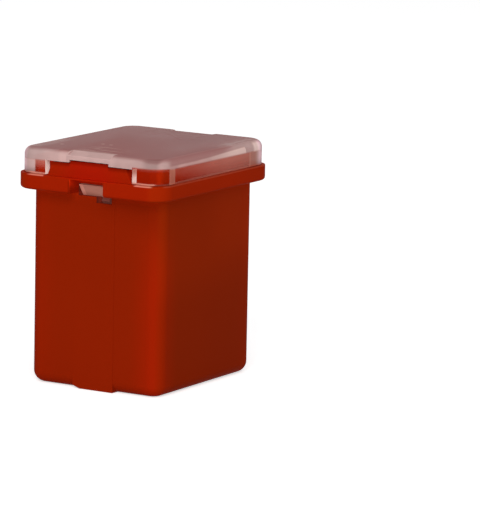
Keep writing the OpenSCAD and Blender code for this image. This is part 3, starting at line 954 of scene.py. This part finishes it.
def mark_end_faces(mesh):
    """Stores 1 or 0 on the cover's faces for two kinds of face, as attributes.

    end_face: looks along Y at a skirt notch or on a latch arm. hook: the other faces of the arm
    below the flange's top."""
    normals, centres = read(mesh.polygons, "normal", 3), np.abs(read(mesh.polygons, "center", 3))
    sideways = (np.abs(normals[:, 1]) > 0.9) & (centres[:, 1] < 4 * MM)
    notch = sideways & (centres[:, 0] > COVER_HIGH.x - 1 * MM) & (centres[:, 1] > 3 * MM)
    arm = COVER_HIGH.z - centres[:, 2] > 1.9 * MM
    store(mesh, "end_face", "FACE", notch | (arm & sideways))
    store(mesh, "hook", "FACE", arm & ~sideways)


class FUSE_OT_element(bpy.types.Operator):
    """Makes the stamped and folded fuse element"""

    bl_idname = "fuse.element"
    bl_label = "Fuse element"

    def execute(self, context):
        settings = context.scene.fuse_element
        strip = finished_copy("fuse_element", "element_strip", settings.edge)
        mark_cut_edges(strip.data)
        strip.data.materials.append(tinned_strip(settings))
        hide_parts("fuse_element")
        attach(strip, "root")
        return {"FINISHED"}


def mark_cut_edges(mesh, socket_side=3.6 * MM, link_drop=0.35 * MM):
    """Stores 1 on the strip's stamped faces and 0 on its rolled faces, as an attribute of the faces.

    A face counts as stamped where it looks along Z below the link, or along Y other than on a
    socket's broad side. The link's rolled faces start a little below the pellet."""
    normals, centres = np.abs(read(mesh.polygons, "normal", 3)), read(mesh.polygons, "center", 3)
    broad = np.abs(np.abs(centres[:, 1]) - socket_side) < 0.3 * MM
    below_link = centres[:, 2] <= PELLET_LOW.z - link_drop
    upward, sideways = normals[:, 2] > 0.98, normals[:, 1] > 0.98
    store(mesh, "cut_edge", "FACE", (upward & below_link) | (sideways & ~broad))


class FUSE_OT_pellet(bpy.types.Operator):
    """Makes the tin pellet pressed on the link"""

    bl_idname = "fuse.pellet"
    bl_label = "Tin pellet"

    def execute(self, context):
        mesh = pellet_mesh()
        mesh.shade_smooth()
        pellet = put_in_scene("pressed_pellet", mesh)
        pellet.data.materials.append(dull_tin(context.scene.fuse_element))
        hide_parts("tin_pellet")
        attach(pellet, "root")
        return {"FINISHED"}


def pellet_mesh(rows=28, columns=96, roundness=3.2, wobble=0.015):
    """A pressed dome: a closed surface of revolution whose outline bulges at the foot.

    The outline is a rounded box (a superellipse whose power is the roundness) from the middle of
    the underside over the rim to the crown. Its radius wavers by the wobble round the rim."""
    half = (PELLET_HIGH - PELLET_LOW) / 2
    centre = (PELLET_HIGH + PELLET_LOW) / 2
    angle = np.linspace(-math.pi / 2, math.pi / 2, rows)[:, None]
    turn = np.linspace(0, 2 * math.pi, columns, endpoint=False)[None, :]
    power = 2 / roundness
    radius = np.abs(np.cos(angle)) ** power
    height = np.sign(np.sin(angle)) * np.abs(np.sin(angle)) ** power
    waver = 1 - wobble * (1 + np.sin(3 * turn + 0.7) * np.cos(2 * turn)) / 2
    x = centre.x + half.x * radius * waver * np.cos(turn)
    y = centre.y + half.y * radius * waver * np.sin(turn)
    z = centre.z + half.z * height * np.ones_like(turn)
    mesh = grid_mesh("pressed_pellet", np.stack([x, y, z], axis=-1))
    shape = bmesh.new()
    shape.from_mesh(mesh)
    bmesh.ops.remove_doubles(shape, verts=shape.verts, dist=0.001 * MM)
    bmesh.ops.recalc_face_normals(shape, faces=shape.faces)
    shape.to_mesh(mesh)
    shape.free()
    return mesh


class FUSE_OT_stage(bpy.types.Operator):
    """Makes the pale floor, the soft studio light and the camera"""

    bl_idname = "fuse.stage"
    bl_label = "Stage"

    def execute(self, context):
        settings = context.scene.fuse_stage
        make_floor(settings)
        make_light(settings)
        make_camera(settings)
        context.scene.view_settings.view_transform = "Standard"
        return {"FINISHED"}


def make_floor(settings, radius=1.2, sides=64, drop=0.02 * MM):
    """A plain round floor, white to the camera where no shadow falls, and open from below."""
    turn = np.linspace(0, 2 * math.pi, sides, endpoint=False)
    rim = np.stack([radius * np.cos(turn), radius * np.sin(turn), np.full_like(turn, -drop)], axis=-1)
    mesh = bpy.data.meshes.new("floor")
    mesh.from_pydata(rim, [], [list(range(sides))])
    floor = put_in_scene("floor", mesh)
    material, shader, place = new_material("Pale floor")
    tree = place.tree
    feed(shader, Base_Color=settings.floor, Roughness=1.0, Specular_IOR_Level=0.0,
         Emission_Color=mixed(seen_rays(tree), BLACK, WHITE), Emission_Strength=settings.lift)
    behind = Field(tree.nodes.new("ShaderNodeNewGeometry").outputs["Backfacing"])
    open_face = tree.nodes.new("ShaderNodeBsdfTransparent")
    show_one(find_node(tree, "OUTPUT_MATERIAL"), behind, shader, open_face)
    mesh.materials.append(material)


def seen_rays(tree):
    """1 for the camera's own rays and for those that gloss or glass sends on, else 0."""
    rays = fields_of(tree.nodes.new("ShaderNodeLightPath"))
    passed_on = rays["Is Glossy Ray"].greater(rays["Is Transmission Ray"])
    return rays["Is Camera Ray"].greater(passed_on)


def show_one(output, mask, first, second):
    """Shows the first shader where the mask is 0, and the second where it is 1."""
    choose = mask.tree.nodes.new("ShaderNodeMixShader")
    for socket, given in zip(choose.inputs, (mask, Field(first.outputs[0]), Field(second.outputs[0]))):
        connect(socket, given)
    feed(output, Surface=Field(choose.outputs[0]))


def make_light(settings):
    """An even world, white to the camera and in gloss and glass, and two large soft lamps."""
    world = bpy.data.worlds.new("Studio")
    bpy.context.scene.world = world
    world.use_nodes = True
    tree = world.node_tree
    even = find_node(tree, "BACKGROUND")
    seen = tree.nodes.new("ShaderNodeBackground")
    feed(even, Color=WHITE, Strength=settings.soft)
    feed(seen, Color=WHITE, Strength=1.0)
    show_one(find_node(tree, "OUTPUT_WORLD"), seen_rays(tree), even, seen)
    middle = Vector((0, 0, 8 * MM))
    for name, place, size, power in (
            ("Key", (-0.5, -0.27, 0.3), 0.4, settings.key),
            ("Top", (0.06, 0.02, 0.6), 0.5, settings.top)):
        lamp = bpy.data.lights.new(name, "AREA")
        lamp.shape = "SQUARE"
        lamp.size = size
        lamp.energy = power
        holder = put_in_scene(name, lamp)
        holder.location = place
        holder.rotation_euler = (middle - Vector(place)).to_track_quat("-Z", "Y").to_euler()


def make_camera(settings, place=(-0.24333, -0.1532, 0.0587), turn=(80.194, -1.129, -59.018)):
    """The camera, low at the front left and far off, with a long lens. Its turn is in degrees."""
    camera = bpy.data.cameras.new("Camera")
    camera.lens = settings.lens
    camera.sensor_width = 36
    camera.clip_start = 0.01
    camera.clip_end = 10
    holder = put_in_scene("Camera", camera)
    holder.location = place
    holder.rotation_euler = [math.radians(angle) for angle in turn]
    bpy.context.scene.camera = holder


class FUSE_PT_panel(bpy.types.Panel):
    """Lists the fuse's pieces and their settings"""

    bl_idname = "FUSE_PT_panel"
    bl_label = "Cartridge Fuse"
    bl_space_type = "VIEW_3D"
    bl_region_type = "UI"
    bl_category = "Fuse"

    def draw(self, context):
        for operator, group in PANEL_ROWS:
            box = self.layout.box()
            box.operator(operator.bl_idname)
            if group:
                settings = getattr(context.scene, group)
                for key in settings.__annotations__:
                    box.prop(settings, key)


PANEL_ROWS = (
    (FUSE_OT_housing, "fuse_housing"),
    (FUSE_OT_cover, "fuse_cover"),
    (FUSE_OT_element, "fuse_element"),
    (FUSE_OT_pellet, None),
    (FUSE_OT_stage, "fuse_stage"),
)
SETTINGS = {
    "fuse_housing": FUSE_PG_housing,
    "fuse_cover": FUSE_PG_cover,
    "fuse_element": FUSE_PG_element,
    "fuse_stage": FUSE_PG_stage,
}
CLASSES = (*SETTINGS.values(), *(row[0] for row in PANEL_ROWS), FUSE_PT_panel)


def register():
    for each in CLASSES:
        bpy.utils.register_class(each)
    for name, group in SETTINGS.items():
        setattr(bpy.types.Scene, name, bpy.props.PointerProperty(type=group))


def unregister():
    for name in SETTINGS:
        delattr(bpy.types.Scene, name)
    for each in reversed(CLASSES):
        bpy.utils.unregister_class(each)


def main():
    """Registers the add-on and makes every piece and the stage."""
    register()
    bpy.ops.fuse.housing()
    bpy.ops.fuse.cover()
    bpy.ops.fuse.element()
    bpy.ops.fuse.pellet()
    bpy.ops.fuse.stage()


if __name__ == "__main__":
    main()
